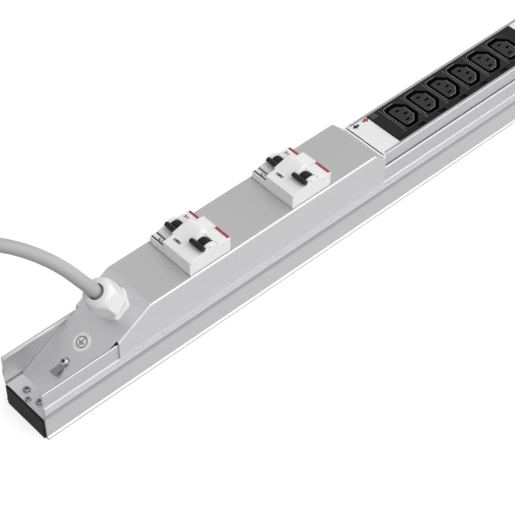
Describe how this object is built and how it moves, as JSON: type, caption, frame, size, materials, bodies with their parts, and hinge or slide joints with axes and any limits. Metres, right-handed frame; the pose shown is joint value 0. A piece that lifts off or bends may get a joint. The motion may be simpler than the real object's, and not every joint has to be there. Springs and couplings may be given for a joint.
{
  "type": "rack power busbar",
  "caption": "Rack power busbar: channel rail with a bent infeed cover, cable gland, two breaker units with toggles, plug-in outlet modules and a coiled lead with an industrial plug.",
  "frame": {"origin": "on the back of the rail, under the middle of its length and width", "axes": "+X along the rail from the infeed end to the far end, +Y across the rail towards the line contacts of the outlets, +Z out of the open side of the channel"},
  "size_m": [1.1091, 0.1473, 0.1598],
  "materials": {
    "anodised": "satin",
    "cover_sheet": "satin",
    "black_plastic": "matt",
    "black_outlets": "satin",
    "white_plastic": "matt",
    "breaker_case": "matt",
    "gland_plastic": "satin",
    "seal_rubber": "matt",
    "cable_jacket": "satin",
    "plug_blue": "satin",
    "plated_steel": "satin",
    "brass": "satin",
    "copper": "satin",
    "label_grey": "satin",
    "label_earth": "satin"
  },
  "bodies": {
    "base": {"rail_profile": "anodised", "press_nuts": "plated_steel", "end_cap_near": "black_plastic", "end_cap_far": "black_plastic", "infeed_cover": "cover_sheet", "tongue_screws": "plated_steel", "earth_stud": "plated_steel", "earth_nut": "plated_steel", "earth_blade": "plated_steel", "earth_label": "label_earth", "gland_body": "gland_plastic", "gland_locknut": "gland_plastic", "gland_cap_nut": "gland_plastic", "gland_seal": "seal_rubber", "top_hat_rails": "plated_steel", "conductor_carrier": "white_plastic", "conductor_bars": "copper", "terminal_block": "white_plastic", "infeed_wires": "copper", "breaker_1_narrow": "breaker_case", "breaker_1_wide": "breaker_case", "breaker_2_narrow": "breaker_case", "breaker_2_wide": "breaker_case", "mains_cable": "cable_jacket", "cable_coil": "cable_jacket", "cable_tail": "cable_jacket", "plug_body": "plug_blue", "plug_pins": "brass", "plug_nut": "plug_blue"},
    "toggle_1_narrow": {"breaker_1_narrow_toggle": "black_plastic"},
    "toggle_1_wide": {"breaker_1_wide_toggle": "black_plastic"},
    "toggle_2_narrow": {"breaker_2_narrow_toggle": "black_plastic"},
    "toggle_2_wide": {"breaker_2_wide_toggle": "black_plastic"},
    "module_1": {"module_1_housing": "anodised", "module_1_insert": "black_outlets", "module_1_contacts": "brass", "module_1_end_near": "white_plastic", "module_1_end_far": "white_plastic", "module_1_marker": "label_grey"},
    "module_2": {"module_2_housing": "anodised", "module_2_insert": "black_outlets", "module_2_contacts": "brass", "module_2_end_near": "white_plastic", "module_2_end_far": "white_plastic", "module_2_marker": "label_grey"}
  },
  "joints": [
    {"name": "breaker_1_narrow_switch", "type": "hinge", "parent": "base", "child": "toggle_1_narrow", "pos_m": [-0.263, 0.0175, 0.0888], "axis": [0, 1, 0], "range_deg": [0, 88]},
    {"name": "breaker_1_wide_switch", "type": "hinge", "parent": "base", "child": "toggle_1_wide", "pos_m": [-0.263, -0.01725, 0.0942], "axis": [0, 1, 0], "range_deg": [0, 88]},
    {"name": "breaker_2_narrow_switch", "type": "hinge", "parent": "base", "child": "toggle_2_narrow", "pos_m": [-0.1466, 0.0175, 0.0888], "axis": [0, 1, 0], "range_deg": [0, 88]},
    {"name": "breaker_2_wide_switch", "type": "hinge", "parent": "base", "child": "toggle_2_wide", "pos_m": [-0.1466, -0.01725, 0.0942], "axis": [0, 1, 0], "range_deg": [0, 88]},
    {"name": "module_1_plug_in", "type": "slide", "parent": "base", "child": "module_1", "axis": [0, 0, 1], "range_m": [0, 0.055]},
    {"name": "module_2_plug_in", "type": "slide", "parent": "base", "child": "module_2", "axis": [0, 0, 1], "range_m": [0, 0.055]}
  ]
}
